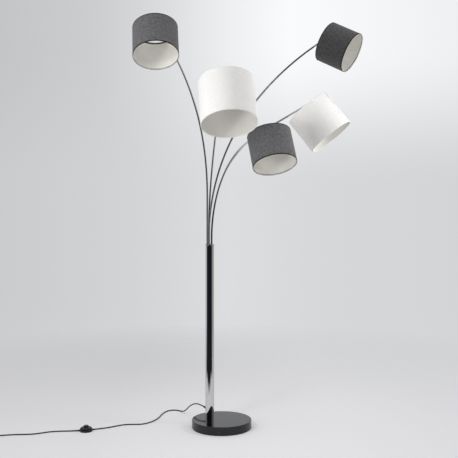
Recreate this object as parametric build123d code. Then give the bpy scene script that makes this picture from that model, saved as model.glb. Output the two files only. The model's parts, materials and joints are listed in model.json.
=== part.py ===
from build123d import *
from dataclasses import dataclass
import math
import os

# Tree floor lamp, in millimetres. The origin is the middle of the foot's underside, +Z is up,
# -Y is the front of the lamp and +X its right-hand side.

# ---------------------------------------------------------------- driving dimensions

# Stone foot with its felt pad
FOOT_DIAMETER = 300.0
FELT_THICKNESS = 3.0
FELT_INSET = 4.0
STONE_HEIGHT = 40.0
STONE_BEVEL = 1.6
BOLT_POCKET_RADIUS = 19.0
BOLT_POCKET_DEPTH = 14.0
BOLT_RADIUS = 5.0
BOLT_GAP = 0.03
BOLT_HEAD_RADIUS = 9.8
BOLT_HEAD_HEIGHT = 6.4
BOLT_REACH = 12.0
WASHER_RADIUS = 16.0
WASHER_THICKNESS = 2.5

# Pole, which stands off centre on the foot, opposite the side that the arms reach over
POLE_X, POLE_Y = -61.5, 58.0
POLE_RADIUS = 22.5
POLE_WALL = 1.5
POLE_TOP = 920.0
CAP_RADIUS = 24.6
CAP_RIM = 7.0
CAP_PLUG = 20.0
CAP_BEVEL = 0.8
PLUG_GAP = 0.02
INSERT_HEIGHT = 16.0
INSERT_THREAD_DEPTH = 14.0

# Terminal block for the wires, a little way up inside the pole
BLOCK_SIZE = (11.0, 14.0, 22.0)
BLOCK_ROWS = 3
BLOCK_ROW_PITCH = 6.0
BLOCK_HOLE_RADIUS = 1.5
BLOCK_HOLE_DEPTH = 2.0

# Arms: round tube, held in five bushes set in a circle in the cap
ARM_RADIUS = 5.0
ARM_WALL = 1.0
RUNNING_GAP = 0.05
HOLE_CIRCLE = 12.5
BUSH_RADIUS = 6.5
BUSH_FLANGE = 1.2
BUSH_FLANGE_REACH = 0.6
SEAT_TOP = 812.0
SEAT_HEIGHT = 22.0
SEAT_SOCKET = 15.0
SEAT_WIRE_WAY = 3.5
ARM_LIFT = 0.3

# Knuckle between an arm and its shade, measured from the tilt pin
ARM_END_TO_PIN = 22.0
FORK_WIDTH = 13.0
FORK_SLOT = 6.6
PIN_RADIUS = 2.0
PIN_HOLE = PIN_RADIUS + RUNNING_GAP
TONGUE_THICKNESS = 6.0
TONGUE_RADIUS = 6.2
TONGUE_WIDTH = 8.0
TONGUE_LENGTH = 11.0
PIN_TO_SHADE_TOP = 16.0
FORK_BACK = 17.0
FORK_SLOT_BACK = 11.0
FORK_ROUNDING = 1.4
FORK_SPIGOT = 14.0
WIRE_BORE = 2.2
SCREW_HEAD_RADIUS = 3.6
SCREW_HEAD_HEIGHT = 2.0
NUT_RADIUS = 3.8
NUT_THICKNESS = 2.4

# Lamp holder for a small screw-cap bulb, measured along the shade's axis from the tilt pin
HOLDER_TOP = 20.0
HOLDER_SHOULDER = 28.0
HOLDER_END = 76.0
HOLDER_RADIUS = 14.0
HOLDER_TOP_RADIUS = 8.0
COLLAR_HEIGHT = 2.0
COLLAR_REACH = 3.0
NECK_RADIUS = 4.5
NECK_START = 10.0
NIPPLE_RADIUS = 5.0
NIPPLE_LENGTH = 10.0
SOCKET_RADIUS = 7.0
SOCKET_DEPTH = 24.0
SOCKET_FLARE = 2.0
HUB_THICKNESS = 1.6
RING_NUT_HEIGHT = 7.0
RING_NUT_REACH = 5.0
NOTCH_COUNT = 18
NOTCH_RADIUS = 0.8

# Shades
COVER_THICKNESS = 1.0
WIRE_RADIUS = 1.25
WIRE_BEVEL = 0.6
RING_INSET = 2.2
SPOKE_COUNT = 3

# Foot switch, which lies on the floor
SWITCH_X, SWITCH_Y = -672.0, -64.0
SWITCH_RADIUS = 31.0
SWITCH_SPLIT = 9.0
SWITCH_TOP = 22.0
SWITCH_WALL = 2.5
SWITCH_DOME = [(29.4, 15.5), (24.0, 20.2)]
SWITCH_LID = 2.2
BUTTON_RADIUS = 12.5
BUTTON_GAP = 0.3
BUTTON_TOP = 29.5
BUTTON_UNDERSIDE = 16.5
BUTTON_SKIRT = 2.5
BUTTON_ROUNDING = 1.5
SWITCH_BOSS_REACH = 37.0
SWITCH_BOSS_LENGTH = 8.0
SWITCH_BOSS_RADIUS = 4.2
SWITCH_BOSS_Z = 4.7
MECHANISM_SIZE = (26.0, 18.0, 10.0)

# Mains lead
CORD_RADIUS = 3.0
FLOOR_Z = CORD_RADIUS + 0.1
RELIEF_LENGTH = 28.0
RELIEF_RADIUS = 5.0
RELIEF_SHOULDER = 6.5
RELIEF_TIP = 4.0
RELIEF_SHANK = 7.0
RELIEF_Z = 70.0
RELIEF_RISE = 14.0
RELIEF_HEADING = 221.6
COIL_MIDDLE_RADIUS = 33.0
COIL_OUTER_TURN = 37.0
COIL_HALF_WIDTH = 7.0
COIL_ROUNDING = 2.5
COIL_ENTRY_GAP = 16.0
COIL_HEIGHT = 12.3
COIL_X, COIL_Y = -1161.0, -136.0

# Two-pin mains plug, which lies beside the coil and points away from the lamp's front
PLUG_START = 18.0
PLUG_TAIL = 26.0
PLUG_LENGTH = 36.0
PLUG_WIDTH = 35.0
PLUG_THICKNESS = 13.7
PLUG_PIN_RADIUS = 2.0
PLUG_PIN_LENGTH = 19.0
PLUG_PIN_SPACING = 18.6
PLUG_TAIL_RADII = (3.4, 5.4)
PLUG_CORNER = 5.5
PLUG_BEVEL = 4.0
PLUG_PIN_ROUNDING = 1.2


@dataclass
class Arm:
    """One arm and its shade. Headings are degrees from straight ahead, positive to the right."""
    name: str
    hole: float          # where its hole lies in the cap, as a heading from the pole's axis
    heading: float       # the way the arm bends over
    rise: float          # straight run above the cap
    bend_1: tuple        # radius and angle of the lower bend
    bend_2: tuple        # radius and angle of the upper bend
    end: float           # straight run from the upper bend to the tilt pin
    shade_diameter: float
    shade_height: float
    shade_heading: float     # the way the shade's open end leans
    shade_droop: float       # how far it leans out from straight down


ARMS = [
    Arm("left", -90, -21.3, 250, (705, 38.4), (965, 26.7), 106, 202, 154, 7.5, 29.7),
    Arm("front", -18, 8.2, 46, (480, 30.9), (1145, 34.75), 38, 246, 212, 10.0, 25.8),
    Arm("middle", 54, 30.4, 28, (460, 6.6), (505, 71.3), 132, 202, 159, 19.5, 27.4),
    Arm("high_right", 198, 70.7, 40, (1055, 41.0), (1285, 17.85), 38, 198, 147, 64.8, 63.7),
    Arm("right", 126, 71.3, 30, (880, 16.4), (500, 45.6), 241, 234, 185, 74.5, 38.7),
]

# Points of the lead's route, from the strain relief over the foot's edge and along the floor
CORD_TO_SWITCH = [
    (-107, 110, 84),
    (-127, 134, 86),
    (-151, 166, 76),
    (-174, 205, 52),
    (-193, 247, 22),
    (-212, 288, FLOOR_Z),
    (-242, 318, FLOOR_Z),
    (-278, 320, FLOOR_Z),
    (-305, 287, FLOOR_Z),
    (-321, 232, FLOOR_Z),
    (-329, 174, FLOOR_Z),
    (-346, 120, FLOOR_Z),
    (-374, 73, FLOOR_Z),
    (-411, 45, FLOOR_Z),
    (-452, 46, FLOOR_Z),
    (-493, 43, FLOOR_Z),
    (-528, 21, FLOOR_Z),
    (-563, -8, FLOOR_Z),
    (-602, -28, FLOOR_Z),
]
CORD_TO_COIL = [
    (-752, -71, FLOOR_Z),
    (-800, -73, FLOOR_Z),
    (-846, -83, FLOOR_Z),
    (-884, -105, FLOOR_Z),
    (-921, -123, FLOOR_Z),
    (-964, -129, FLOOR_Z),
    (-1008, -131, FLOOR_Z),
    (-1053, -139, FLOOR_Z),
    (-1096, -154, FLOOR_Z),
]

# ---------------------------------------------------------------- heights that follow

STONE_TOP = FELT_THICKNESS + STONE_HEIGHT
POLE_AXIS = Vector(POLE_X, POLE_Y, 0)
POLE_BORE = POLE_RADIUS - POLE_WALL
CAP_UNDERSIDE = POLE_TOP - CAP_RIM
ARM_BOTTOM = SEAT_TOP - SEAT_SOCKET + ARM_LIFT
POCKET_ROOF = FELT_THICKNESS + BOLT_POCKET_DEPTH
BLOCK_FLOOR = STONE_TOP + INSERT_HEIGHT

# ---------------------------------------------------------------- small helpers


def compass(heading, droop=90.0):
    """Unit vector along a heading, drooping that many degrees out from straight down."""
    h, d = math.radians(heading), math.radians(droop)
    return Vector(math.sin(h) * math.sin(d), -math.cos(h) * math.sin(d), -math.cos(d))


def drum(radius, low, high):
    """A cylinder about the Z axis between two heights."""
    return Pos(0, 0, (low + high) / 2) * Cylinder(radius, high - low)


def ring(outer, inner, low, high):
    """A plain ring about the Z axis between two heights."""
    return drum(outer, low, high) - drum(inner, low - 1, high + 1)


def crosswise(radius, length):
    """A cylinder along the X axis, centred on the origin."""
    return Rot(0, 90, 0) * Cylinder(radius, length)


def rod(start, end, radius):
    """A round bar between two points."""
    run = Vector(*end) - Vector(*start)
    return Plane(origin=start, z_dir=run) * drum(radius, 0, run.length)


def on_pole(shape):
    """Moves a piece that was drawn about the Z axis to the pole's axis."""
    return Pos(POLE_X, POLE_Y, 0) * shape


# ---------------------------------------------------------------- foot and pole


def stone_foot():
    stone = drum(FOOT_DIAMETER / 2, FELT_THICKNESS, STONE_TOP)
    stone = chamfer(stone.edges().filter_by(GeomType.CIRCLE), STONE_BEVEL)
    pocket = drum(BOLT_POCKET_RADIUS, 0, POCKET_ROOF)
    bolt_hole = drum(BOLT_RADIUS + 1, 0, STONE_TOP + 1)
    return stone - on_pole(pocket + bolt_hole)


def felt_pad():
    pad = drum(FOOT_DIAMETER / 2 - FELT_INSET, 0, FELT_THICKNESS)
    return pad - on_pole(drum(BOLT_POCKET_RADIUS, -1, FELT_THICKNESS + 1))


def foot_washer():
    return on_pole(ring(WASHER_RADIUS, BOLT_RADIUS + RUNNING_GAP,
                        POCKET_ROOF - WASHER_THICKNESS, POCKET_ROOF))


def foot_bolt():
    head_top = POCKET_ROOF - WASHER_THICKNESS
    head = extrude(RegularPolygon(BOLT_HEAD_RADIUS, 6), BOLT_HEAD_HEIGHT)
    shank = drum(BOLT_RADIUS - BOLT_GAP, head_top, STONE_TOP + BOLT_REACH)
    return on_pole(Pos(0, 0, head_top - BOLT_HEAD_HEIGHT) * head + shank)


def foot_insert():
    insert = drum(POLE_BORE - PLUG_GAP, STONE_TOP, STONE_TOP + INSERT_HEIGHT)
    return on_pole(insert - drum(BOLT_RADIUS, STONE_TOP - 1, STONE_TOP + INSERT_THREAD_DEPTH))


def relief_frame():
    """Frame of the strain relief: its Z axis points out of the pole's rear, a little upwards."""
    outward = compass(RELIEF_HEADING, 90 + RELIEF_RISE)
    start = POLE_AXIS + Vector(0, 0, RELIEF_Z)
    return Plane(origin=start, z_dir=outward)


def pole_tube():
    tube = ring(POLE_RADIUS, POLE_BORE, STONE_TOP, CAP_UNDERSIDE)
    return on_pole(tube) - relief_frame() * drum(RELIEF_RADIUS, 0, 2 * POLE_RADIUS)


def strain_relief():
    taper = Cone(RELIEF_SHOULDER, RELIEF_TIP, RELIEF_LENGTH + 4)
    taper = Pos(0, 0, POLE_RADIUS + RELIEF_LENGTH / 2 - 2) * taper
    shank = drum(RELIEF_RADIUS - RUNNING_GAP, POLE_RADIUS - RELIEF_SHANK, POLE_RADIUS + 4)
    outside = relief_frame() * taper - on_pole(drum(POLE_RADIUS, 0, POLE_TOP))
    return outside + relief_frame() * shank


def terminal_block():
    width, _, height = BLOCK_SIZE
    block = Pos(0, 0, BLOCK_FLOOR + height / 2) * Box(*BLOCK_SIZE)
    hole = crosswise(BLOCK_HOLE_RADIUS, 2 * BLOCK_HOLE_DEPTH)
    for side in (-1, 1):
        for row in range(BLOCK_ROWS):
            level = BLOCK_FLOOR + height / 2 + (row - 1) * BLOCK_ROW_PITCH
            block -= Pos(side * width / 2, 0, level) * hole
    return on_pole(block)


def around_cap(shape):
    """Copies of a piece at each of the cap's holes."""
    copies = []
    for arm in ARMS:
        copies.append(Pos(compass(arm.hole) * HOLE_CIRCLE) * shape)
    return copies


def pole_cap():
    rim = chamfer(drum(CAP_RADIUS, CAP_UNDERSIDE, POLE_TOP).edges(), CAP_BEVEL)
    cap = rim + drum(POLE_BORE - PLUG_GAP, CAP_UNDERSIDE - CAP_PLUG, CAP_UNDERSIDE + 1)
    for hole in around_cap(drum(BUSH_RADIUS, CAP_UNDERSIDE - CAP_PLUG - 1, POLE_TOP + 1)):
        cap -= hole
    return on_pole(cap)


def arm_bushes():
    bore = ARM_RADIUS + RUNNING_GAP
    bush = ring(BUSH_RADIUS, bore, CAP_UNDERSIDE - CAP_PLUG, POLE_TOP)
    bush += ring(BUSH_RADIUS + BUSH_FLANGE_REACH, bore, POLE_TOP, POLE_TOP + BUSH_FLANGE)
    return on_pole(Compound(children=around_cap(bush)))


def arm_seat():
    seat = drum(POLE_BORE - PLUG_GAP, SEAT_TOP - SEAT_HEIGHT, SEAT_TOP)
    socket = drum(ARM_RADIUS + RUNNING_GAP, SEAT_TOP - SEAT_SOCKET, SEAT_TOP + 1)
    wire_way = drum(SEAT_WIRE_WAY, SEAT_TOP - SEAT_HEIGHT - 1, SEAT_TOP)
    for hole in around_cap(socket + wire_way):
        seat -= hole
    return on_pole(seat)


# ---------------------------------------------------------------- arms and knuckles


def arm_path(arm):
    """The arm's centre line, in its own upright plane, from its foot in the seat to its end."""
    foot = Line((0, ARM_BOTTOM), (0, POLE_TOP + arm.rise))
    lower = JernArc(foot @ 1, foot % 1, arm.bend_1[0], -arm.bend_1[1])
    upper = JernArc(lower @ 1, lower % 1, arm.bend_2[0], -arm.bend_2[1])
    reach = arm.end - ARM_END_TO_PIN
    last = Line(upper @ 1, upper @ 1 + (upper % 1) * reach)
    return arm_plane(arm) * Wire([foot, lower, upper, last])


def arm_plane(arm):
    """The upright plane of the arm: X runs outwards along its heading, Y runs up."""
    outward = compass(arm.heading)
    return Plane(origin=POLE_AXIS + compass(arm.hole) * HOLE_CIRCLE, x_dir=outward,
                 z_dir=outward.cross(Vector(0, 0, 1)))


def arm_tube(arm):
    path = arm_path(arm)
    section = Circle(ARM_RADIUS) - Circle(ARM_RADIUS - ARM_WALL)
    return sweep(Plane(origin=path @ 0, z_dir=path % 0) * section, path=path)


def tilt_pin(arm):
    """The middle of the tilt pin, the arm's end direction and the pin's direction."""
    path = arm_path(arm)
    outward = path % 1
    middle = path @ 1 + outward * ARM_END_TO_PIN
    pin = outward.cross(compass(arm.shade_heading, arm.shade_droop)).normalized()
    return middle, outward, pin


def knuckle_frame(arm):
    """Origin on the tilt pin, Z along the arm's end, X along the pin."""
    middle, outward, pin = tilt_pin(arm)
    return Plane(origin=middle, x_dir=pin, z_dir=outward)


def shade_frame_plane(arm):
    """Origin on the tilt pin, Z along the shade's axis to its open end, X along the pin."""
    middle, _, pin = tilt_pin(arm)
    return Plane(origin=middle, x_dir=pin, z_dir=compass(arm.shade_heading, arm.shade_droop))


def knuckle_fork():
    half = FORK_WIDTH / 2
    arm_end = -ARM_END_TO_PIN
    fork = Pos(0, 0, -FORK_BACK / 2) * Box(FORK_WIDTH, FORK_WIDTH, FORK_BACK)
    fork += crosswise(half, FORK_WIDTH)
    fork &= drum(half + FORK_ROUNDING, -FORK_BACK, half)
    slot_length = FORK_SLOT_BACK + half + 1
    slot = Box(FORK_SLOT, 2 * FORK_WIDTH, slot_length)
    fork -= Pos(0, 0, slot_length / 2 - FORK_SLOT_BACK) * slot
    fork -= crosswise(PIN_HOLE, 2 * FORK_WIDTH)
    collar = drum(half - 0.3, arm_end + 0.3, -FORK_BACK)
    spigot = drum(ARM_RADIUS - ARM_WALL - RUNNING_GAP, arm_end - FORK_SPIGOT, arm_end + 0.4)
    wire_way = drum(WIRE_BORE, arm_end - FORK_SPIGOT - 1, 1 - FORK_SLOT_BACK)
    return fork + collar + spigot - wire_way


def knuckle_screw():
    half = FORK_WIDTH / 2
    head = Pos(half + SCREW_HEAD_HEIGHT / 2, 0, 0) * crosswise(SCREW_HEAD_RADIUS, SCREW_HEAD_HEIGHT)
    rim = head.edges().filter_by(GeomType.CIRCLE).sort_by(Axis.X)[-1]
    head = fillet(rim, SCREW_HEAD_HEIGHT * 0.45)
    nut = Pos(0, 0, -half - NUT_THICKNESS) * extrude(RegularPolygon(NUT_RADIUS, 6), NUT_THICKNESS)
    return crosswise(PIN_RADIUS, FORK_WIDTH + 1) + head + Rot(0, 90, 0) * nut


# ---------------------------------------------------------------- shades and lamp holders


def holder_stem():
    tongue = crosswise(TONGUE_RADIUS, TONGUE_THICKNESS)
    tongue += Pos(0, 0, TONGUE_LENGTH / 2) * Box(TONGUE_THICKNESS, TONGUE_WIDTH, TONGUE_LENGTH)
    tongue -= crosswise(PIN_HOLE, 2 * TONGUE_THICKNESS)
    neck = drum(NECK_RADIUS, NECK_START, HOLDER_TOP)
    neck += drum(NIPPLE_RADIUS, HOLDER_TOP, HOLDER_TOP + NIPPLE_LENGTH)
    return tongue + neck - drum(WIRE_BORE, NECK_START - 2, HOLDER_TOP + NIPPLE_LENGTH + 1)


def lamp_holder():
    collar = HOLDER_SHOULDER - COLLAR_HEIGHT
    taper = Cone(HOLDER_TOP_RADIUS, HOLDER_RADIUS, collar - HOLDER_TOP)
    holder = Pos(0, 0, (HOLDER_TOP + collar) / 2) * taper
    holder += drum(HOLDER_RADIUS, collar, HOLDER_END)
    holder += drum(HOLDER_RADIUS + COLLAR_REACH, collar, HOLDER_SHOULDER)
    holder -= drum(NIPPLE_RADIUS + BOLT_GAP, HOLDER_TOP - 1, HOLDER_TOP + NIPPLE_LENGTH + 0.1)
    socket = drum(SOCKET_RADIUS, HOLDER_END - SOCKET_DEPTH - 2, HOLDER_END + 1)
    mouth = Cone(SOCKET_RADIUS, SOCKET_RADIUS + SOCKET_FLARE, SOCKET_FLARE)
    return holder - socket - Pos(0, 0, HOLDER_END - SOCKET_FLARE / 2) * mouth


def ring_nut():
    low = HOLDER_SHOULDER + HUB_THICKNESS
    outer = HOLDER_RADIUS + RING_NUT_REACH
    nut = ring(outer, HOLDER_RADIUS + RUNNING_GAP, low, low + RING_NUT_HEIGHT)
    grip = Pos(outer, 0, low + RING_NUT_HEIGHT / 2) * Cylinder(NOTCH_RADIUS, RING_NUT_HEIGHT + 2)
    for notch in PolarLocations(0, NOTCH_COUNT):
        nut -= notch * grip
    return nut


def wire_ring(radius, level):
    """A ring of wire about the Z axis, eight-sided in section."""
    wire = ring(radius + WIRE_RADIUS, radius - WIRE_RADIUS, level - WIRE_RADIUS, level + WIRE_RADIUS)
    return chamfer(wire.edges(), WIRE_BEVEL)


def shade_wires(arm):
    """Top ring with spokes down to a hub that sits on the holder's shoulder, and bottom ring."""
    ring_radius = arm.shade_diameter / 2 - COVER_THICKNESS - WIRE_RADIUS - 0.02
    top = PIN_TO_SHADE_TOP + RING_INSET
    bottom = PIN_TO_SHADE_TOP + arm.shade_height - RING_INSET
    carrier = ring(HOLDER_RADIUS + 4.5, HOLDER_RADIUS + 0.2, HOLDER_SHOULDER,
                   HOLDER_SHOULDER + HUB_THICKNESS)
    carrier += wire_ring(ring_radius, top)
    hub_level = HOLDER_SHOULDER + HUB_THICKNESS / 2
    for turn in range(SPOKE_COUNT):
        away = compass(360 / SPOKE_COUNT * turn)
        start = away * (HOLDER_RADIUS + 3.6) + Vector(0, 0, hub_level)
        carrier += rod(start, away * ring_radius + Vector(0, 0, top), WIRE_RADIUS - 0.1)
    return Compound(children=[carrier, wire_ring(ring_radius, bottom)])


def shade_cover(arm):
    radius = arm.shade_diameter / 2
    low = PIN_TO_SHADE_TOP
    return ring(radius, radius - COVER_THICKNESS, low, low + arm.shade_height)


# ---------------------------------------------------------------- foot switch


def switch_place():
    return Pos(SWITCH_X, SWITCH_Y, 0)


def boss_direction(point):
    """Level direction from the switch's middle towards a point of the lead's route."""
    return Vector(point[0] - SWITCH_X, point[1] - SWITCH_Y, 0).normalized()


def boss_face(point):
    """Middle of the end face of the boss where the lead from that point enters."""
    return Vector(SWITCH_X, SWITCH_Y, SWITCH_BOSS_Z) + boss_direction(point) * SWITCH_BOSS_REACH


def switch_base():
    shell = chamfer(drum(SWITCH_RADIUS, 0, SWITCH_SPLIT).edges().sort_by(Axis.Z)[0], 1.0)
    shell = switch_place() * (shell - drum(SWITCH_RADIUS - SWITCH_WALL, SWITCH_WALL, SWITCH_SPLIT + 1))
    for entry in (CORD_TO_SWITCH[-1], CORD_TO_COIL[0]):
        outward = boss_direction(entry)
        start = boss_face(entry) - outward * SWITCH_BOSS_LENGTH
        shell += rod(start, boss_face(entry), SWITCH_BOSS_RADIUS)
    return shell


def switch_cover():
    opening = BUTTON_RADIUS + BUTTON_GAP
    outer = [(SWITCH_RADIUS, SWITCH_SPLIT), *SWITCH_DOME, (opening, SWITCH_TOP)]
    dome = make_face(Polyline((0, SWITCH_SPLIT), outer[0])
                     + Spline(*outer, tangents=[(0, 1), (-1, 0.1)])
                     + Polyline(outer[-1], (0, SWITCH_TOP), (0, SWITCH_SPLIT)))
    solid = revolve(Plane.XZ * dome, Axis.Z)
    hollow = drum(SWITCH_RADIUS - SWITCH_WALL - 1.5, SWITCH_SPLIT - 1, SWITCH_DOME[0][1] - 1)
    hollow += drum(SWITCH_DOME[1][0] - 5, SWITCH_SPLIT, SWITCH_TOP - SWITCH_LID)
    return switch_place() * (solid - hollow - drum(opening, 0, SWITCH_TOP + 1))


def switch_button():
    crown = drum(BUTTON_RADIUS, BUTTON_UNDERSIDE, BUTTON_TOP)
    crown = fillet(crown.edges().sort_by(Axis.Z)[-1], BUTTON_ROUNDING)
    skirt = drum(BUTTON_RADIUS + BUTTON_SKIRT, BUTTON_UNDERSIDE, SWITCH_TOP - SWITCH_LID - 0.5)
    return switch_place() * (crown + skirt)


def switch_mechanism():
    length, width, height = MECHANISM_SIZE
    body = Pos(0, 0, SWITCH_WALL + height / 2) * Box(*MECHANISM_SIZE)
    slot = Pos(0, 0, SWITCH_WALL + height) * Box(length / 3, width + 2, 2)
    return switch_place() * (body - slot)


# ---------------------------------------------------------------- mains lead and plug


def lead(name, points):
    """A round tube along straight runs joined by arcs, each as large as its runs allow."""
    points = [Vector(*p) for p in points]
    radii = []
    for before, corner, after in zip(points, points[1:], points[2:]):
        run_in, run_out = corner - before, after - corner
        turn = math.radians(run_in.get_angle(run_out))
        radii.append(0.45 * min(run_in.length, run_out.length) / math.tan(turn / 2))
    path = FilletPolyline(*points, radius=radii)
    section = Plane(origin=path @ 0, z_dir=path % 0) * Circle(CORD_RADIUS)
    tube = sweep(section, path=path)
    runs = [(b - a).length for a, b in zip(points, points[1:])]
    print(name, "length", round(path.length), "arc radii", [round(r) for r in radii])
    print("  runs", [round(r) for r in runs], "volume over section times length",
          round(tube.volume / (math.pi * CORD_RADIUS ** 2 * path.length), 4))
    return tube


def cord_to_switch():
    tip = relief_frame().from_local_coords(Vector(0, 0, POLE_RADIUS + RELIEF_LENGTH))
    return lead("pole to switch", [tip, *CORD_TO_SWITCH, boss_face(CORD_TO_SWITCH[-1])])


def cord_to_coil():
    return lead("switch to coil", [boss_face(CORD_TO_COIL[0]), *CORD_TO_COIL, coil_entry()])


def coil_entry():
    """Where the lead runs into the coil's outer wall, on its way to touch the middle turn."""
    last = Vector(*CORD_TO_COIL[-1])
    to_coil = Vector(COIL_X, COIL_Y, FLOOR_Z) - last
    touch = math.degrees(math.asin((COIL_MIDDLE_RADIUS + CORD_RADIUS) / to_coil.length))
    along = to_coil.rotate(Axis.Z, touch).normalized()
    return last + along * (to_coil.length * math.cos(math.radians(touch)) - COIL_ENTRY_GAP)


def cord_coil():
    outer = COIL_MIDDLE_RADIUS + COIL_HALF_WIDTH
    inner = COIL_MIDDLE_RADIUS - COIL_HALF_WIDTH
    coil = ring(outer, inner, 0.1, 0.1 + COIL_HEIGHT)
    coil = fillet(coil.edges().filter_by(GeomType.CIRCLE), COIL_ROUNDING)
    return Pos(COIL_X, COIL_Y, 0) * coil


def plug_frame():
    """Frame of the plug: its Z axis runs from the cord's tail to the pins."""
    start = (COIL_X - COIL_OUTER_TURN, COIL_Y + PLUG_START, PLUG_THICKNESS / 2 + 0.1)
    return Plane(origin=start, x_dir=(1, 0, 0), z_dir=(0, 1, 0))


def plug_body():
    body = Pos(0, 0, PLUG_TAIL + PLUG_LENGTH / 2) * Box(PLUG_WIDTH, PLUG_THICKNESS, PLUG_LENGTH)
    body = fillet(body.edges().filter_by(Axis.Z), PLUG_CORNER)
    body = chamfer(body.faces().sort_by(Axis.Z)[0].edges(), PLUG_BEVEL)
    tail = Pos(0, 0, PLUG_TAIL / 2 + 1) * Cone(*PLUG_TAIL_RADII, PLUG_TAIL + 2)
    return plug_frame() * (body + tail)


def plug_pins():
    pins = []
    base = PLUG_TAIL + PLUG_LENGTH
    for side in (-1, 1):
        pin = drum(PLUG_PIN_RADIUS, base, base + PLUG_PIN_LENGTH)
        pin = fillet(pin.edges().sort_by(Axis.Z)[-1], PLUG_PIN_ROUNDING)
        pins.append(Pos(side * PLUG_PIN_SPACING / 2, 0, 0) * pin)
    return plug_frame() * Compound(children=pins)


# ---------------------------------------------------------------- all the pieces


def all_pieces():
    pieces = {
        "stone_foot": stone_foot(),
        "felt_pad": felt_pad(),
        "foot_washer": foot_washer(),
        "foot_bolt": foot_bolt(),
        "foot_insert": foot_insert(),
        "pole_tube": pole_tube(),
        "strain_relief": strain_relief(),
        "terminal_block": terminal_block(),
        "pole_cap": pole_cap(),
        "arm_bushes": arm_bushes(),
        "arm_seat": arm_seat(),
        "switch_base": switch_base(),
        "switch_cover": switch_cover(),
        "switch_button": switch_button(),
        "switch_mechanism": switch_mechanism(),
        "cord_to_switch": cord_to_switch(),
        "cord_to_coil": cord_to_coil(),
        "cord_coil": cord_coil(),
        "plug_body": plug_body(),
        "plug_pins": plug_pins(),
    }
    for arm in ARMS:
        knuckle = knuckle_frame(arm)
        shade = shade_frame_plane(arm)
        pieces[arm.name + "_arm_tube"] = arm_tube(arm)
        pieces[arm.name + "_knuckle_fork"] = knuckle * knuckle_fork()
        pieces[arm.name + "_knuckle_screw"] = knuckle * knuckle_screw()
        pieces[arm.name + "_holder_stem"] = shade * holder_stem()
        pieces[arm.name + "_lamp_holder"] = shade * lamp_holder()
        pieces[arm.name + "_ring_nut"] = shade * ring_nut()
        pieces[arm.name + "_shade_wires"] = shade * shade_wires(arm)
        pieces[arm.name + "_shade_cover"] = shade * shade_cover(arm)
    return pieces


os.makedirs("parts", exist_ok=True)
for name, shape in all_pieces().items():
    export_step(shape, f"parts/{name}.step")
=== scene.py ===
# %% [markdown]
# # A five-armed floor lamp
# The hard parts of this lamp come from a CAD model that is loaded as a fixed frame: the stone foot,
# the pole, the arms, the knuckles and the lamp holders. Blender adds what CAD leaves plain: the
# cloth shades, the mains lead, the finishes, the light and the camera.

# %% Load the frame
import json
import math

import bpy
from mathutils import Matrix, Vector


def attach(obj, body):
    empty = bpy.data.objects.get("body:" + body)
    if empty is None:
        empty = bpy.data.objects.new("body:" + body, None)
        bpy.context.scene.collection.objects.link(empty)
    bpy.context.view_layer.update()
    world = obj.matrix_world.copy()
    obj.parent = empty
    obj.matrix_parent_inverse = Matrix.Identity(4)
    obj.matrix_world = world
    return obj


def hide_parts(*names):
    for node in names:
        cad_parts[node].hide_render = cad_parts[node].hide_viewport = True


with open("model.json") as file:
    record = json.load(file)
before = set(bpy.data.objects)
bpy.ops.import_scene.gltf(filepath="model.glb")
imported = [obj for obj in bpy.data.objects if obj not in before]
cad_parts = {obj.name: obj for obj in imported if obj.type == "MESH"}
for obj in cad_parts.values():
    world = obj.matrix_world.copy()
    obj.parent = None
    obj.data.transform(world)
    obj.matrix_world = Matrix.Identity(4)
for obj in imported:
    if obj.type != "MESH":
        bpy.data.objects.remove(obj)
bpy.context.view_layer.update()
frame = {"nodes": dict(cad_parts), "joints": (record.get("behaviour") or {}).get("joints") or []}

nodes = frame["nodes"]

# %% [markdown]
# ## The camera
# The photograph was taken from a little over a metre up, level, with a lens of middle length. A
# level camera keeps the pole upright, and a small shift of the lens lowers the picture, as a
# photographer does with a view camera.

# %% Camera
bpy.ops.object.select_all(action="DESELECT")
bpy.ops.object.camera_add(location=(0.037, -4.199, 1.202), rotation=(math.radians(90), 0, 0))
camera = bpy.context.object
camera.name = "camera"
camera.data.lens = 65.5
camera.data.shift_y = -0.0874
bpy.context.scene.camera = camera
bpy.context.scene.view_settings.view_transform = "Standard"

# %% [markdown]
# ## The mains lead
# The lead is one length of 6 mm round flex. It leaves the pole low at the back through a tapered
# strain relief, drops over the foot, wanders to the left through the foot switch and ends in a
# plug. What the photograph doesn't show is wound into a small coil beyond the picture's edge. One
# NURBS spline carries it all: its control points are the places where the lead lies.

# %% Route of the lead
MM = 0.001
FLOOR = 3.1

TO_SWITCH = [
    (-107, 110, 84), (-127, 134, 86), (-151, 166, 76), (-174, 205, 52), (-193, 247, 22),
    (-212, 288, FLOOR), (-242, 318, FLOOR), (-278, 320, FLOOR), (-305, 287, FLOOR),
    (-321, 232, FLOOR), (-329, 174, FLOOR), (-346, 120, FLOOR), (-374, 73, FLOOR),
    (-411, 45, FLOOR), (-452, 46, FLOOR), (-493, 43, FLOOR), (-528, 21, FLOOR),
    (-563, -8, FLOOR), (-602, -28, FLOOR),
]
THROUGH_SWITCH = [(-638, -47, 4.7), (-672, -62, 5.5), (-709, -67.4, 4.7)]
TO_COIL = [
    (-752, -71, FLOOR), (-800, -73, FLOOR), (-846, -83, FLOOR), (-884, -105, FLOOR),
    (-921, -123, FLOOR), (-964, -129, FLOOR), (-1008, -131, FLOOR), (-1053, -139, FLOOR),
    (-1096, -154, FLOOR), (-1116, -161.5, FLOOR), (-1131, -167.3, FLOOR), (-1146, -171.7, FLOOR),
]
COIL_CENTRE = (-1161, -136)
PLUG_TAIL_START = (-1198, -118, 6.95)
PLUG_TAIL_END = (-1198, -112, 6.95)

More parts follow.
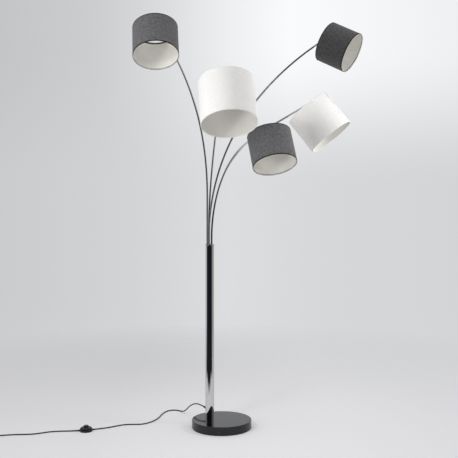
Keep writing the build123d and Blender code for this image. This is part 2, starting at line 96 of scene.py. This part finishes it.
pole_axis = Vector((-61.5, 58.0, 0))
relief_heading, relief_rise = math.radians(221.6), math.radians(14)
relief_out = Vector((math.sin(relief_heading) * math.cos(relief_rise),
                     -math.cos(relief_heading) * math.cos(relief_rise), math.sin(relief_rise)))
relief_tip = pole_axis + Vector((0, 0, 70)) + relief_out * 50.5

# %% [markdown]
# The coil has a lower layer of nearly two turns and an upper one, fourteen points to each turn. The
# lead runs in at the outside, winds inwards, climbs on top and leaves along the outer edge.

# %% Turns of the coil
POINTS_PER_TURN = 14
COIL_TURNS = 3.25
coil_stops = [            # quarter turns from the start, radius, height
    (0.0, 37.6, 3.1), (2.0, 36.9, 3.1), (4.6, 30.4, 3.1), (7.0, 29.6, 3.3), (8.4, 31.2, 8.4),
    (10.0, 34.6, 9.1), (11.5, 36.8, 9.2), (13.1, 37.0, 8.4),
]


def between(stops, quarter):
    """Radius and height of the coil at a number of quarter turns."""
    for (q0, r0, z0), (q1, r1, z1) in zip(stops, stops[1:]):
        if quarter <= q1:
            share = (quarter - q0) / (q1 - q0)
            return r0 + (r1 - r0) * share, z0 + (z1 - z0) * share
    return stops[-1][1:]


coil = []
steps = int(COIL_TURNS * POINTS_PER_TURN)
for step in range(0, steps + 1):
    quarter = 4 * step / POINTS_PER_TURN
    radius, height = between(coil_stops, quarter)
    angle = math.radians(-90 - 90 * quarter)
    coil.append((COIL_CENTRE[0] + radius * math.cos(angle),
                 COIL_CENTRE[1] + radius * math.sin(angle), height))
print("coil points", len(coil))

# %% [markdown]
# Blender sizes the box round a curve from the radius of its points, so each point carries the true
# radius of 3 mm and the bevel's depth is 1.

# %% Lead
LEAD_RADIUS = 3 * MM
route = [tuple(relief_tip), *TO_SWITCH, *THROUGH_SWITCH, *TO_COIL, *coil, PLUG_TAIL_START,
         PLUG_TAIL_END]
curve = bpy.data.curves.new("mains_lead", "CURVE")
curve.dimensions = "3D"
spline = curve.splines.new("NURBS")
spline.points.add(len(route) - 1)
for point, place in zip(spline.points, route):
    point.co = (*(Vector(place) * MM), 1)
    point.radius = LEAD_RADIUS
spline.order_u = 3
spline.use_endpoint_u = True
spline.resolution_u = 6
curve.bevel_depth = 1.0
curve.bevel_resolution = 5
curve.use_fill_caps = True
mains_lead = bpy.data.objects.new("mains_lead", curve)
bpy.context.collection.objects.link(mains_lead)
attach(mains_lead, "stand")
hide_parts("cord_to_switch", "cord_to_coil", "cord_coil")

# %% [markdown]
# ## Finishes
# Every finish starts from what the real surface is. Three helpers do the chores: one turns an sRGB
# hex value into the linear colour that the shader wants, one adds a node with its settings, and one
# starts a material.

# %% Helpers for finishes


def colour(code):
    """Linear RGBA from a hex value such as d8d9dc."""
    channels = [int(code[i:i + 2], 16) / 255 for i in (0, 2, 4)]
    linear = [c / 12.92 if c <= 0.04045 else ((c + 0.055) / 1.055) ** 2.4 for c in channels]
    return (*linear, 1)


def add(tree, kind, inputs=None, **settings):
    """Adds a node. Inputs are given as values or as the outputs that feed them."""
    node = tree.nodes.new(kind)
    for name, value in settings.items():
        setattr(node, name, value)
    for socket, value in (inputs or {}).items():
        if isinstance(value, bpy.types.NodeSocket):
            tree.links.new(value, node.inputs[socket])
        else:
            node.inputs[socket].default_value = value
    return node


def new_finish(name, **values):
    """A material with one Principled shader, and its node tree and shader."""
    finish = bpy.data.materials.new(name)
    finish.use_nodes = True
    shader = finish.node_tree.nodes["Principled BSDF"]
    for socket, value in values.items():
        shader.inputs[socket.replace("_", " ")].default_value = value
    return finish, finish.node_tree, shader


# %% [markdown]
# **Bright chrome on steel tube.** Chrome is a mirror with a cool tint. What the eye reads is the
# room in it, so the roughness is low, and a faint waviness from polishing keeps the reflections
# from looking drawn with a ruler.

# %% Chrome
SMUDGE = 0.12          # metres across a patch that polishing left a little duller
chrome, tree, shader = new_finish("bright_chrome", Metallic=1.0, Base_Color=colour("e6e7ea"))
place = add(tree, "ShaderNodeTexCoord").outputs["Object"]
smudge = add(tree, "ShaderNodeTexNoise", {"Vector": place, "Scale": 1 / SMUDGE, "Detail": 1.0})
rough = add(tree, "ShaderNodeMapRange", {"Value": smudge.outputs["Fac"], "To Min": 0.03, "To Max": 0.07})
tree.links.new(rough.outputs["Result"], shader.inputs["Roughness"])

# %% [markdown]
# **Polished black marble.** The stone is nearly black with faint grey clouds and a few thin
# veins, and the polish gives it a clear reflection of the floor and the pole.

# %% Marble
marble, tree, shader = new_finish("polished_black_marble", Roughness=0.09, IOR=1.54)
place = add(tree, "ShaderNodeTexCoord").outputs["Object"]
CLOUD = 0.060          # metres across a cloud in the stone
cloud = add(tree, "ShaderNodeTexNoise", {"Vector": place, "Scale": 1 / CLOUD, "Detail": 6.0,
                                         "Distortion": 0.8})
vein = add(tree, "ShaderNodeTexNoise", {"Vector": place, "Scale": 0.45 / CLOUD, "Detail": 8.0,
                                        "Distortion": 2.5})
vein_line = add(tree, "ShaderNodeValToRGB", {"Fac": vein.outputs["Fac"]})
vein_line.color_ramp.elements[0].position = 0.492
vein_line.color_ramp.elements[0].color = (0, 0, 0, 1)
vein_line.color_ramp.elements[1].position = 0.51
vein_line.color_ramp.elements[1].color = (0, 0, 0, 1)
peak = vein_line.color_ramp.elements.new(0.5)
peak.color = (1, 1, 1, 1)
stone = add(tree, "ShaderNodeMix", {"Factor": cloud.outputs["Fac"], "A": colour("080709"),
                                    "B": colour("121115")},
            data_type="RGBA")
with_vein = add(tree, "ShaderNodeMix", {"Factor": vein_line.outputs["Color"], "A": stone.outputs["Result"],
                                        "B": colour("2c2b2f")}, data_type="RGBA")
tree.links.new(with_vein.outputs["Result"], shader.inputs["Base Color"])

# %% [markdown]
# **Plastics, felt and small metal.** The lead is soft PVC, the switch and the lamp holders are
# moulded plastic with a fine spark-eroded grain, and the foot stands on black felt.

# %% Plain finishes


def grained(name, code, roughness, grain_mm, depth_mm, **values):
    """A moulded or brushed surface: one colour, with fine grain in its bump and roughness."""
    finish, tree, shader = new_finish(name, Base_Color=colour(code), **values)
    place = add(tree, "ShaderNodeTexCoord").outputs["Object"]
    grain = add(tree, "ShaderNodeTexNoise", {"Vector": place, "Scale": 1 / (grain_mm * MM), "Detail": 3.0})
    rough = add(tree, "ShaderNodeMapRange", {"Value": grain.outputs["Fac"], "To Min": roughness - 0.06,
                                             "To Max": roughness + 0.08})
    bump = add(tree, "ShaderNodeBump", {"Height": grain.outputs["Fac"], "Distance": depth_mm * MM,
                                        "Strength": 0.4})
    tree.links.new(rough.outputs["Result"], shader.inputs["Roughness"])
    tree.links.new(bump.outputs["Normal"], shader.inputs["Normal"])
    return finish


cord_pvc = grained("black_pvc_flex", "0c0c0d", 0.42, 1.5, 0.05)
switch_plastic = grained("black_abs", "111112", 0.38, 0.6, 0.03)
holder_plastic = grained("black_thermoset", "0e0e0f", 0.35, 0.6, 0.02)
soft_plastic = grained("black_soft_pvc", "101011", 0.45, 0.8, 0.04)
felt = grained("black_wool_felt", "0d0d0d", 0.92, 0.7, 0.4)
zinc = grained("zinc_plated_steel", "b4b6b8", 0.35, 0.4, 0.01, Metallic=1.0)
nickel = grained("nickel_plated_brass", "c9c4b8", 0.22, 0.4, 0.01, Metallic=1.0)
nylon = grained("white_nylon", "d8d6cc", 0.5, 0.6, 0.02)
wire_paint = grained("white_enamelled_wire", "dddcd6", 0.4, 1.0, 0.02)

# %% [markdown]
# **Shade cloth.** The shades are linen-look cloth on a plastic sheet, rolled round a wire ring at
# each end. The cloth shows its threads and the thicker slubs that make linen uneven. The threads
# of the real cloth are about 0.5 mm apart, too fine for the picture, so they are drawn 1.1 mm apart.

# %% Shade cloth
THREAD = 0.0011
HEATHER = 0.011           # metres across a patch where the dyed fibres bunch
BAND = math.tau / 20      # a wave texture of scale 1 repeats after this length


def shade_cloth(name, dark, light, sheen):
    """Plain-woven cloth in two tones of one colour. Its UV map is in metres."""
    finish, tree, shader = new_finish(name, Roughness=0.6, Sheen_Weight=sheen, Sheen_Roughness=0.5)
    sheet = add(tree, "ShaderNodeTexCoord").outputs["UV"]
    warp = add(tree, "ShaderNodeTexWave", {"Vector": sheet, "Scale": BAND / THREAD}, bands_direction="X")
    weft = add(tree, "ShaderNodeTexWave", {"Vector": sheet, "Scale": BAND / THREAD}, bands_direction="Y")
    over = add(tree, "ShaderNodeTexChecker", {"Vector": sheet, "Scale": 1 / THREAD})
    weave = add(tree, "ShaderNodeMix", {"Factor": over.outputs["Fac"], "A": warp.outputs["Fac"],
                                        "B": weft.outputs["Fac"]})
    along = add(tree, "ShaderNodeMapping", {"Vector": sheet, "Scale": (1 / 0.05, 1 / 0.0022, 1)})
    across = add(tree, "ShaderNodeMapping", {"Vector": sheet, "Scale": (1 / 0.0022, 1 / 0.05, 1)})
    slub_weft = add(tree, "ShaderNodeTexNoise", {"Vector": along.outputs["Vector"], "Scale": 1.0,
                                                 "Detail": 3.0})
    slub_warp = add(tree, "ShaderNodeTexNoise", {"Vector": across.outputs["Vector"], "Scale": 1.0,
                                                 "Detail": 3.0})
    slubs = add(tree, "ShaderNodeMath", {0: slub_weft.outputs["Fac"], 1: slub_warp.outputs["Fac"]})
    tone = add(tree, "ShaderNodeMapRange", {"Value": slubs.outputs["Value"], "From Min": 0.75,
                                            "From Max": 1.25})
    patch = add(tree, "ShaderNodeTexNoise", {"Vector": sheet, "Scale": 1 / HEATHER, "Detail": 2.0})
    bunch = add(tree, "ShaderNodeMapRange", {"Value": patch.outputs["Fac"], "From Min": 0.38,
                                             "From Max": 0.62})
    heather = add(tree, "ShaderNodeMix", {"Factor": 0.6, "A": tone.outputs["Result"],
                                          "B": bunch.outputs["Result"]})
    mixed = add(tree, "ShaderNodeMix", {"Factor": heather.outputs["Result"], "A": colour(dark),
                                        "B": colour(light)},
                data_type="RGBA")
    height = add(tree, "ShaderNodeMath", {0: slubs.outputs["Value"], 1: weave.outputs["Result"]})
    bump = add(tree, "ShaderNodeBump", {"Height": height.outputs["Value"], "Distance": 0.00025,
                                        "Strength": 0.5})
    tree.links.new(mixed.outputs["Result"], shader.inputs["Base Color"])
    tree.links.new(bump.outputs["Normal"], shader.inputs["Normal"])
    return finish


cloths = {
    "grey_felt": shade_cloth("grey_linen_a", "4b4a4c", "6c6b6d", 0.05),
    "grey_linen": shade_cloth("grey_linen_b", "4d4d4f", "6c6b6d", 0.05),
    "dark_grey_linen": shade_cloth("dark_grey_linen", "383637", "545253", 0.05),
    "off_white_linen": shade_cloth("off_white_linen", "ebeae8", "f2f1ef", 0.05),
}
lining = grained("white_laminate", "e3e1db", 0.6, 1.2, 0.02)
# Painted shade: a near-black finish for the rolled rims and the folds inside the grey shades, darker than
# their cloth, standing in for the shade there.
rim_painted_shade = grained("painted_rim_shade", "171617", 0.85, 0.5, 0.1)

# %% [markdown]
# ## The shades
# A drum shade is a sheet of laminated cloth round two wire rings, with the cloth rolled over each
# ring and glued down inside. One outline, turned round the shade's axis, gives the wall, the
# rolled lips and the folded edge inside. A circle of vertices is extruded from point to point of
# that outline, which is how a potter or a lathe would make it.

# %% Turning an outline


def turned(name, outline, count):
    """A closed ring-shaped mesh: a circle extruded from point to point of an outline (radius, height)."""
    bpy.ops.object.select_all(action="DESELECT")
    radius, height = outline[0]
    bpy.ops.mesh.primitive_circle_add(vertices=count, radius=radius, location=(0, 0, height), calc_uvs=False)
    piece = bpy.context.object
    piece.name = piece.data.name = name
    bpy.ops.object.transform_apply(location=True, rotation=True, scale=True)
    bpy.ops.object.mode_set(mode="EDIT")
    bpy.ops.mesh.select_all(action="SELECT")
    for new_radius, new_height in [*outline[1:], outline[0]]:
        bpy.ops.mesh.extrude_edges_move(TRANSFORM_OT_translate={"value": (0, 0, new_height - height)})
        share = new_radius / radius
        bpy.ops.transform.resize(value=(share, share, 1), center_override=(0, 0, new_height))
        radius, height = new_radius, new_height
    bpy.ops.mesh.select_all(action="SELECT")
    bpy.ops.mesh.remove_doubles(threshold=1e-6)
    bpy.ops.mesh.normals_make_consistent(inside=False)
    bpy.ops.object.mode_set(mode="OBJECT")
    bpy.ops.object.shade_smooth_by_angle(angle=math.radians(40))
    return piece


# %% [markdown]
# The outline runs in millimetres: up the outside, round the upper lip, down the fold inside, down
# the lining and round the lower lip. The lips stand a fifth of a millimetre proud, because the
# cloth is double there.

# %% Outline of a shade
FOLD_TOP, FOLD_BOTTOM = 10.0, 5.0     # height of the cloth that is folded inside
# On the grey shades this band and the folds inside are painted near-black, as painted shade of the rolled
# rims.
RIM = 4.5             # height of the darker band that the grey shades have outside
LIP = 1.5


def shade_outline(radius, height):
    wall = radius - 0.2
    points = []
    for side, level, fold in ((1, 0.0, FOLD_TOP), (-1, height, FOLD_BOTTOM)):
        ring = []
        ring.append((wall, level + side * RIM))
        ring.append((radius - 0.05, level + side * 2.6))
        for step in range(0, 9):
            angle = math.radians(180 * step / 8)
            ring.append((radius - LIP + LIP * math.cos(angle), level + side * (LIP - LIP * math.sin(angle))))
        ring.append((radius - 2 * LIP, level + side * fold))
        ring.append((radius - 1.3, level + side * (fold + 0.15)))
        points.append(ring)
    outline = points[0] + points[1][::-1]
    return [(r * MM, z * MM) for r, z in outline]


# %% [markdown]
# The weave has to follow the wall, so the shade gets a UV map in metres: the distance round the
# drum and the height. It is written while the shade still stands upright on the origin.

# %% UV map round a drum


def wrap_round(piece, radius):
    layer = piece.data.uv_layers.new(name="round")
    for face in piece.data.polygons:
        middle = math.atan2(face.center.y, face.center.x)
        for loop in face.loop_indices:
            point = piece.data.vertices[piece.data.loops[loop].vertex_index].co
            angle = math.atan2(point.y, point.x)
            angle += math.tau * round((middle - angle) / math.tau)
            layer.data[loop].uv = (angle * radius, point.z)


# %% [markdown]
# Each shade hangs from its tilt pin at the end of an arm. Its place comes from the CAD nodes
# round it, and its lean from the two directions that the photograph fixes.

# %% Places of the shades
PIN_TO_SHADE = 16.0
SHADES = {          # diameter, height, heading and droop in degrees, cloth
    "left": (202, 154, 7.5, 29.7, "grey_felt"),
    "front": (246, 212, 10.0, 25.8, "off_white_linen"),
    "middle": (202, 159, 19.5, 27.4, "grey_linen"),
    "high_right": (198, 147, 64.8, 63.7, "dark_grey_linen"),
    "right": (234, 185, 74.5, 38.7, "off_white_linen"),
}


def lean(heading, droop):
    h, d = math.radians(heading), math.radians(droop)
    return Vector((math.sin(h) * math.sin(d), -math.cos(h) * math.sin(d), -math.cos(d)))


pivots = {j["name"]: Vector(j["pos_m"]) for j in frame["joints"] if "pos_m" in j}
pins = {j["name"]: Vector(j["axis"]) for j in frame["joints"]}


def shade_frame(name):
    """The turn and move from an upright shade on the origin to its place on the lamp."""
    _, _, heading, droop, _ = SHADES[name]
    down = lean(heading, droop)
    pin = pins[name + "_tilt"]
    pin = (pin - down * pin.dot(down)).normalized()
    turn = Matrix((pin, down.cross(pin), down)).transposed().to_4x4()
    return Matrix.Translation(pivots[name + "_tilt"] + down * PIN_TO_SHADE * MM) @ turn


# %% Shades
for name, (diameter, height, _, _, cloth) in SHADES.items():
    radius = diameter / 2
    shade = turned(name + "_shade", shade_outline(radius, height), 128)
    wrap_round(shade, radius * MM)
    shade.data.materials.append(cloths[cloth])
    shade.data.materials.append(lining)
    # The third slot holds the painted rim shade on the grey shades; the off-white shades keep their own cloth
    # there.
    shade.data.materials.append(cloths[cloth] if cloth == "off_white_linen" else rim_painted_shade)
    for face in shade.data.polygons:
        out = math.hypot(face.center.x, face.center.y) / MM
        inside = out < radius - 1.0
        from_top = face.center.z / MM
        at_top = from_top < (FOLD_TOP if inside else RIM)
        at_bottom = height - from_top < (FOLD_BOTTOM if inside else RIM)
        if at_top or at_bottom:
            face.material_index = 2
        elif inside:
            face.material_index = 1
    shade.data.transform(shade_frame(name))
    shade.data.update()
    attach(shade, name + "_head")
    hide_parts(name + "_shade_cover")
    print(name, "shade faces", len(shade.data.polygons))

# %% [markdown]
# ## Threads in the lamp holders
# Each holder has a pressed metal liner with a rounded thread that grips the bulb's cap. The thread
# is drawn as rings, since its climb of 2.8 mm a turn is too slight to see.

# %% Thread liners
THREAD_PITCH = 2.8
LINER_OUTER, LINER_CREST, LINER_ROOT = 6.96, 6.05, 6.6
LINER_START, LINER_END = 51.0, 73.5       # along the shade's axis from the tilt pin

liner = [(LINER_OUTER, LINER_START), (LINER_OUTER, LINER_END)]
rows = int((LINER_END - LINER_START) / THREAD_PITCH * 8)
for row in range(rows + 1):
    level = LINER_END - (LINER_END - LINER_START) * row / rows
    wave = 0.5 + 0.5 * math.cos(math.tau * row / 8)
    liner.append((LINER_CREST + (LINER_ROOT - LINER_CREST) * wave, level))
first_liner = turned("thread_liner", [(r * MM, z * MM) for r, z in liner], 40)
first_liner.data.materials.append(nickel)
for name in SHADES:
    piece = first_liner.copy()
    piece.data = first_liner.data.copy()
    piece.name = piece.data.name = name + "_thread_liner"
    bpy.context.collection.objects.link(piece)
    piece.data.transform(shade_frame(name) @ Matrix.Translation((0, 0, -PIN_TO_SHADE * MM)))
    piece.data.update()
    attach(piece, name + "_head")
bpy.data.objects.remove(first_liner)
print("liner outline points", len(liner))

# %% [markdown]
# ## Finishes for the CAD pieces

# %% Finishes on the CAD nodes
finish_of = {
    "stone_foot": marble, "felt_pad": felt, "foot_washer": zinc, "foot_bolt": zinc,
    "foot_insert": zinc, "pole_tube": chrome, "strain_relief": soft_plastic,
    "terminal_block": nylon, "pole_cap": chrome, "arm_bushes": holder_plastic, "arm_seat": nylon,
    "switch_base": switch_plastic, "switch_cover": switch_plastic, "switch_button": switch_plastic,
    "switch_mechanism": nylon, "plug_body": soft_plastic, "plug_pins": nickel,
    "cord_to_switch": cord_pvc, "cord_to_coil": cord_pvc, "cord_coil": cord_pvc,
}
for name in SHADES:
    finish_of[name + "_arm_tube"] = chrome
    finish_of[name + "_knuckle_fork"] = chrome
    finish_of[name + "_knuckle_screw"] = chrome
    finish_of[name + "_holder_stem"] = chrome
    finish_of[name + "_lamp_holder"] = holder_plastic
    finish_of[name + "_ring_nut"] = holder_plastic
    finish_of[name + "_shade_wires"] = wire_paint
    finish_of[name + "_shade_cover"] = cloths[SHADES[name][4]]
for name, node in nodes.items():
    node.data.materials.clear()
    node.data.materials.append(finish_of[name])
mains_lead.data.materials.append(cord_pvc)

# %% [markdown]

# %% [markdown]
# ## Floor and light
# The lamp stands on pale paper under soft light. The paper fades out into an even backdrop, which
# the world supplies, brighter behind the shades as in the photograph. Chrome needs something dark
# to mirror, so the front of the room, and the floor in front of the lamp, are dark to reflections
# alone: from most of a metre ahead for the pole, and all the way for the arms, whose reflections of
# the floor come from more than a metre off. To the camera alone the paper is lifted a little, more
# towards the right, which evens out the falling light without more light on the lamp.

# %% Floor
DARK_WAY = (-0.26, -0.966, 0)         # from the pole towards the dark part of the room
POLE_FOOT = (-0.0615, 0.058, 0)
bpy.ops.object.select_all(action="DESELECT")
bpy.ops.mesh.primitive_circle_add(vertices=128, radius=6.0, fill_type="NGON", location=(0, 0, 0))
floor = bpy.context.object
floor.name = "paper_floor"
paper, tree, shader = new_finish("studio_paper", Roughness=0.9, Specular_IOR_Level=0.1)
place = add(tree, "ShaderNodeTexCoord").outputs["Object"]
path = add(tree, "ShaderNodeLightPath")
far = add(tree, "ShaderNodeVectorMath", {0: place}, operation="LENGTH")
# Painted shade: the paper is coloured a little darker away from the lamp, standing in for the light falling
# off.
painted_falloff = add(tree, "ShaderNodeMapRange", {"Value": far.outputs["Value"], "From Min": 0.6, "From Max": 2.5})
tone = add(tree, "ShaderNodeMix", {"Factor": painted_falloff.outputs["Result"], "A": colour("f6f6f8"),
                                   "B": colour("eeeef0")}, data_type="RGBA")
spot = add(tree, "ShaderNodeVectorMath", {0: place, 1: POLE_FOOT}, operation="SUBTRACT")
ahead = add(tree, "ShaderNodeVectorMath", {0: spot.outputs["Vector"], 1: DARK_WAY}, operation="DOT_PRODUCT")
beyond = add(tree, "ShaderNodeMapRange", {"Value": ahead.outputs["Value"], "From Min": 0.6, "From Max": 0.95})
spot_way = add(tree, "ShaderNodeVectorMath", {0: spot.outputs["Vector"]}, operation="NORMALIZE")
wedge = add(tree, "ShaderNodeVectorMath", {0: spot_way.outputs["Vector"], 1: DARK_WAY},
                                           operation="DOT_PRODUCT")
in_wedge = add(tree, "ShaderNodeMapRange", {"Value": wedge.outputs["Value"], "From Min": 0.0,
                                            "From Max": 0.3})
long_way = add(tree, "ShaderNodeMapRange", {"Value": path.outputs["Ray Length"], "From Min": 1.05,
                                            "From Max": 1.3})
from_arms = add(tree, "ShaderNodeMath", {0: in_wedge.outputs["Result"], 1: long_way.outputs["Result"]},
                operation="MULTIPLY")
dark = add(tree, "ShaderNodeMath", {0: beyond.outputs["Result"], 1: from_arms.outputs["Value"]},
                                    operation="MAXIMUM")
mirrored = add(tree, "ShaderNodeMath", {0: dark.outputs["Value"], 1: path.outputs["Is Glossy Ray"]},
               operation="MULTIPLY")
shown = add(tree, "ShaderNodeMix", {"Factor": mirrored.outputs["Value"], "A": tone.outputs["Result"],
                                    "B": colour("1c1c1f")}, data_type="RGBA")
tree.links.new(shown.outputs["Result"], shader.inputs["Base Color"])
east = add(tree, "ShaderNodeSeparateXYZ", {0: place})
lift = add(tree, "ShaderNodeMapRange", {"Value": east.outputs["X"], "From Min": -0.6, "From Max": 0.6,
                                        "To Min": 0.09, "To Max": 0.21})
for_camera = add(tree, "ShaderNodeMath", {0: lift.outputs["Result"], 1: path.outputs["Is Camera Ray"]},
                 operation="MULTIPLY")
shader.inputs["Emission Color"].default_value = colour("f6f6f8")
tree.links.new(for_camera.outputs["Value"], shader.inputs["Emission Strength"])
fade = add(tree, "ShaderNodeMapRange", {"Value": far.outputs["Value"], "From Min": 0.9, "From Max": 3.2})
clear = add(tree, "ShaderNodeBsdfTransparent")
edge = add(tree, "ShaderNodeMixShader", {0: fade.outputs["Result"], 1: shader.outputs["BSDF"],
                                         2: clear.outputs["BSDF"]})
tree.links.new(edge.outputs["Shader"], tree.nodes["Material Output"].inputs["Surface"])
floor.data.materials.append(paper)

# %% [markdown]
# The world shows one thing to the camera, another to mirrors and a third to matt surfaces. The
# camera sees a backdrop that is bright behind the shades on the right and greyer to the left. Its
# ramps start at the camera and run round by the left-hand side (0.25), the back (0.5) and the
# right-hand side (0.75) to the camera again.

# %% Ramps


def ramp(tree, factor, stops):
    """A colour ramp with stops given as (position, hex colour)."""
    node = add(tree, "ShaderNodeValToRGB", {"Fac": factor})
    elements = node.color_ramp.elements
    while len(elements) < len(stops):
        elements.new(1.0)
    for element, (position, code) in zip(elements, stops):
        element.position = position
        element.color = colour(code)
    return node.outputs["Color"]


# %% Backdrop
world = bpy.data.worlds.new("studio")
bpy.context.scene.world = world
world.use_nodes = True
tree = world.node_tree
tree.nodes.clear()
direction = add(tree, "ShaderNodeTexCoord").outputs["Generated"]
way = add(tree, "ShaderNodeSeparateXYZ", {0: direction})
azimuth = add(tree, "ShaderNodeMath", {0: way.outputs["X"], 1: way.outputs["Y"]}, operation="ARCTAN2")
turn = add(tree, "ShaderNodeMapRange", {"Value": azimuth.outputs["Value"], "From Min": -math.pi,
                                        "From Max": math.pi})
upper = ramp(tree, turn.outputs["Result"],
             [(0.0, "dcdddf"), (0.2, "d4d5d7"), (0.4566, "c3c4c6"), (0.4753, "cccdcf"), (0.4876, "dbdcde"),
              (0.5, "eeeff1"), (0.5116, "fafbfd"), (0.5434, "eff0f1"), (0.8, "e4e5e7"), (1.0, "dcdddf")])
lower = ramp(tree, turn.outputs["Result"],
             [(0.0, "d4d5d7"), (0.4566, "cacbcd"), (0.4823, "d2d3d5"), (0.5, "dcdddf"), (0.5178, "d6d7d9"),
              (0.5434, "d3d4d6"), (1.0, "d4d5d7")])
rise = add(tree, "ShaderNodeMapRange", {"Value": way.outputs["Z"], "From Min": 0.0, "From Max": 0.17},
           interpolation_type="SMOOTHSTEP")
sink = add(tree, "ShaderNodeMapRange", {"Value": way.outputs["Z"], "From Min": -0.12, "From Max": -0.3},
           interpolation_type="SMOOTHSTEP")
low = add(tree, "ShaderNodeMix", {"Factor": sink.outputs["Result"], "A": lower, "B": colour("d6d7d9")},
          data_type="RGBA")
backdrop = add(tree, "ShaderNodeMix", {"Factor": rise.outputs["Result"], "A": low.outputs["Result"],
                                       "B": upper},
               data_type="RGBA")

# %% [markdown]
# Mirrors see a ring of surfaces: dark round the camera, a grey screen on the right with a warmer
# wall behind it, and pale paper behind the lamp. This ramp runs round in the same way.

# %% What mirrors see
high = add(tree, "ShaderNodeMapRange", {"Value": way.outputs["Z"], "From Min": 0.5, "From Max": 0.8})
room = ramp(tree, turn.outputs["Result"],
            [(0.0, "17191e"), (0.21, "16232e"), (0.22, "a4a4a7"), (0.3, "c2c3c6"), (0.5, "d2d3d5"),
             (0.68, "c2bfba"), (0.69, "8f8a82"), (0.79, "8f8a82"), (0.8, "a6a8ad"), (0.825, "a6a8ad"),
             (0.835, "1a1714"), (1.0, "17191e")])

mirrored = add(tree, "ShaderNodeMix", {"Factor": high.outputs["Result"], "A": room, "B": colour("dfe0e2")},
               data_type="RGBA")

# %% [markdown]
# Matt surfaces get the same light from every side.

# %% World
FILL = 0.4
path = add(tree, "ShaderNodeLightPath")
for_mirrors = add(tree, "ShaderNodeMix", {"Factor": path.outputs["Is Glossy Ray"], "A": (FILL, FILL, FILL, 1),
                                          "B": mirrored.outputs["Result"]}, data_type="RGBA")
for_all = add(tree, "ShaderNodeMix", {"Factor": path.outputs["Is Camera Ray"],
                                      "A": for_mirrors.outputs["Result"],
                                      "B": backdrop.outputs["Result"]}, data_type="RGBA")
background = add(tree, "ShaderNodeBackground", {"Color": for_all.outputs["Result"], "Strength": 1.0})
add(tree, "ShaderNodeOutputWorld", {"Surface": background.outputs["Background"]})

# %% [markdown]
# Soft boxes light the lamp. One stands on the left, a little above the shades, and one below
# it shines in at their open ends. A narrow one on the right reaches only the right-hand shades,
# one further right draws their edges, and a large one overhead lights the floor.

# %% Soft boxes
LAMPS = {       # place, aim, size in metres, spread in degrees, watts
    "left_box": ((-1.5, -2.3, 2.2), (0.0, -0.5, 1.65), 0.8, 180, 19.5),
    "low_left_box": ((-1.6, -1.6, 0.9), (0.0, -0.5, 1.65), 0.6, 100, 5),
    "right_box": ((1.25, -1.7, 1.3), (0.42, -0.15, 1.5), 0.5, 50, 0.7),
    "edge_box": ((1.9, -0.3, 1.6), (0.1, -0.4, 1.6), 0.7, 100, 5.5),
    "top_box": ((0.0, -0.3, 3.7), (0.0, -0.3, 0.0), 3.0, 180, 22),
}
for name, (place, aim, size, spread, watts) in LAMPS.items():
    bpy.ops.object.select_all(action="DESELECT")
    bpy.ops.object.light_add(type="AREA", location=place)
    lamp = bpy.context.object
    lamp.name = name
    lamp.data.shape = "DISK"
    lamp.data.size = size
    lamp.data.spread = math.radians(spread)
    lamp.data.energy = watts
    lamp.visible_glossy = False
    lamp.rotation_euler = (Vector(aim) - lamp.location).to_track_quat("-Z", "Y").to_euler()

# %% Update the scene
bpy.context.view_layer.update()
